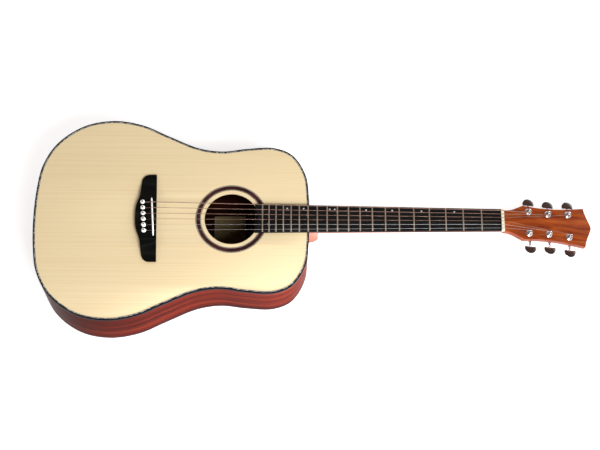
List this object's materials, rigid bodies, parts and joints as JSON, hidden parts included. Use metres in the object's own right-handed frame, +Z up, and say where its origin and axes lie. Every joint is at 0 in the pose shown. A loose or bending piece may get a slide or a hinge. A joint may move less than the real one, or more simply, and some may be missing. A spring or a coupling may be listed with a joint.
{
  "type": "acoustic guitar",
  "caption": "Steel-string dreadnought acoustic guitar with a pale spruce top, mahogany body, dark bridge and fretboard, and chrome tuners that turn their posts.",
  "frame": {"origin": "middle of the guitar's outer box in plan, on the surface it lies on", "axes": "lying on its back: +X toward the headstock, +Y toward the bass strings, +Z up out of the soundboard"},
  "size_m": [1.0558, 0.397, 0.1311],
  "materials": {
    "spruce": "gloss",
    "body_mahogany": "gloss",
    "neck_mahogany": "satin",
    "dark_wood": "matte",
    "rosette_wood": "gloss",
    "brace_wood": "raw",
    "block_wood": "raw",
    "binding": "gloss",
    "pearl": "mottled gloss",
    "bone": "satin",
    "white_plastic": "gloss",
    "chrome": "polished",
    "steel": "bright",
    "bronze": "wound"
  },
  "bodies": {
    "guitar": {"soundboard": "spruce", "rosette": "rosette_wood", "top_binding": "binding", "top_purfling": "pearl", "back_binding": "binding", "bass_side": "body_mahogany", "treble_side": "body_mahogany", "back_panel": "body_mahogany", "neck_block": "block_wood", "tail_block": "block_wood", "x_brace_bass": "brace_wood", "x_brace_treble": "brace_wood", "upper_brace": "brace_wood", "back_brace_upper": "brace_wood", "back_brace_lower": "brace_wood", "bridge_plate": "block_wood", "neck": "neck_mahogany", "truss_rod": "steel", "fretboard": "dark_wood", "nut": "bone", "heel_cap": "binding", "end_pin": "white_plastic", "bridge": "dark_wood", "saddle": "bone", "string_low_e": "bronze", "string_a": "bronze", "string_d": "bronze", "string_g": "bronze", "string_b": "steel", "string_high_e": "steel", "tuner_housing_low_e": "chrome", "tuner_bushing_low_e": "chrome", "tuner_housing_a": "chrome", "tuner_bushing_a": "chrome", "tuner_housing_d": "chrome", "tuner_bushing_d": "chrome", "tuner_housing_g": "chrome", "tuner_bushing_g": "chrome", "tuner_housing_b": "chrome", "tuner_bushing_b": "chrome", "tuner_housing_high_e": "chrome", "tuner_bushing_high_e": "chrome"},
    "button_low_e": {"tuner_button_low_e": "chrome"},
    "post_low_e": {"tuner_post_low_e": "chrome"},
    "pin_low_e": {"bridge_pin_low_e": "white_plastic"},
    "button_a": {"tuner_button_a": "chrome"},
    "post_a": {"tuner_post_a": "chrome"},
    "pin_a": {"bridge_pin_a": "white_plastic"},
    "button_d": {"tuner_button_d": "chrome"},
    "post_d": {"tuner_post_d": "chrome"},
    "pin_d": {"bridge_pin_d": "white_plastic"},
    "button_g": {"tuner_button_g": "chrome"},
    "post_g": {"tuner_post_g": "chrome"},
    "pin_g": {"bridge_pin_g": "white_plastic"},
    "button_b": {"tuner_button_b": "chrome"},
    "post_b": {"tuner_post_b": "chrome"},
    "pin_b": {"bridge_pin_b": "white_plastic"},
    "button_high_e": {"tuner_button_high_e": "chrome"},
    "post_high_e": {"tuner_post_high_e": "chrome"},
    "pin_high_e": {"bridge_pin_high_e": "white_plastic"}
  },
  "joints": [
    {"name": "button_turn_low_e", "type": "hinge", "parent": "guitar", "child": "button_low_e", "pos_m": [0.40971, 0.0214, 0.04498], "axis": [0, 1, 0], "continuous": true},
    {"name": "post_turn_low_e", "type": "hinge", "parent": "guitar", "child": "post_low_e", "pos_m": [0.40708, 0.0214, 0.06464], "axis": [0.2731, 0, 0.962], "continuous": true},
    {"name": "button_turn_a", "type": "hinge", "parent": "guitar", "child": "button_a", "pos_m": [0.44733, 0.02, 0.0343], "axis": [0, 1, 0], "continuous": true},
    {"name": "post_turn_a", "type": "hinge", "parent": "guitar", "child": "post_a", "pos_m": [0.4447, 0.02, 0.05397], "axis": [0.2731, 0, 0.962], "continuous": true},
    {"name": "button_turn_d", "type": "hinge", "parent": "guitar", "child": "button_d", "pos_m": [0.48629, 0.0226, 0.02324], "axis": [0, 1, 0], "continuous": true},
    {"name": "post_turn_d", "type": "hinge", "parent": "guitar", "child": "post_d", "pos_m": [0.48366, 0.0226, 0.04291], "axis": [0.2731, 0, 0.962], "continuous": true},
    {"name": "button_turn_g", "type": "hinge", "parent": "guitar", "child": "button_g", "pos_m": [0.48629, -0.0226, 0.02324], "axis": [0, -1, 0], "continuous": true},
    {"name": "post_turn_g", "type": "hinge", "parent": "guitar", "child": "post_g", "pos_m": [0.48366, -0.0226, 0.04291], "axis": [0.2731, 0, 0.962], "continuous": true},
    {"name": "button_turn_b", "type": "hinge", "parent": "guitar", "child": "button_b", "pos_m": [0.44733, -0.02, 0.0343], "axis": [0, -1, 0], "continuous": true},
    {"name": "post_turn_b", "type": "hinge", "parent": "guitar", "child": "post_b", "pos_m": [0.4447, -0.02, 0.05397], "axis": [0.2731, 0, 0.962], "continuous": true},
    {"name": "button_turn_high_e", "type": "hinge", "parent": "guitar", "child": "button_high_e", "pos_m": [0.40971, -0.0214, 0.04498], "axis": [0, -1, 0], "continuous": true},
    {"name": "post_turn_high_e", "type": "hinge", "parent": "guitar", "child": "post_high_e", "pos_m": [0.40708, -0.0214, 0.06464], "axis": [0.2731, 0, 0.962], "continuous": true},
    {"name": "pin_lift_low_e", "type": "slide", "parent": "guitar", "child": "pin_low_e", "axis": [0.0584, 0, 0.9983], "range_m": [0, 0.022]},
    {"name": "pin_lift_a", "type": "slide", "parent": "guitar", "child": "pin_a", "axis": [0.0584, 0, 0.9983], "range_m": [0, 0.022]},
    {"name": "pin_lift_d", "type": "slide", "parent": "guitar", "child": "pin_d", "axis": [0.0584, 0, 0.9983], "range_m": [0, 0.022]},
    {"name": "pin_lift_g", "type": "slide", "parent": "guitar", "child": "pin_g", "axis": [0.0584, 0, 0.9983], "range_m": [0, 0.022]},
    {"name": "pin_lift_b", "type": "slide", "parent": "guitar", "child": "pin_b", "axis": [0.0584, 0, 0.9983], "range_m": [0, 0.022]},
    {"name": "pin_lift_high_e", "type": "slide", "parent": "guitar", "child": "pin_high_e", "axis": [0.0584, 0, 0.9983], "range_m": [0, 0.022]}
  ],
  "couplings": [
    {"joint": "post_turn_low_e", "follows": "button_turn_low_e", "ratio": 0.071429},
    {"joint": "post_turn_a", "follows": "button_turn_a", "ratio": 0.071429},
    {"joint": "post_turn_d", "follows": "button_turn_d", "ratio": 0.071429},
    {"joint": "post_turn_g", "follows": "button_turn_g", "ratio": -0.071429},
    {"joint": "post_turn_b", "follows": "button_turn_b", "ratio": -0.071429},
    {"joint": "post_turn_high_e", "follows": "button_turn_high_e", "ratio": -0.071429}
  ]
}
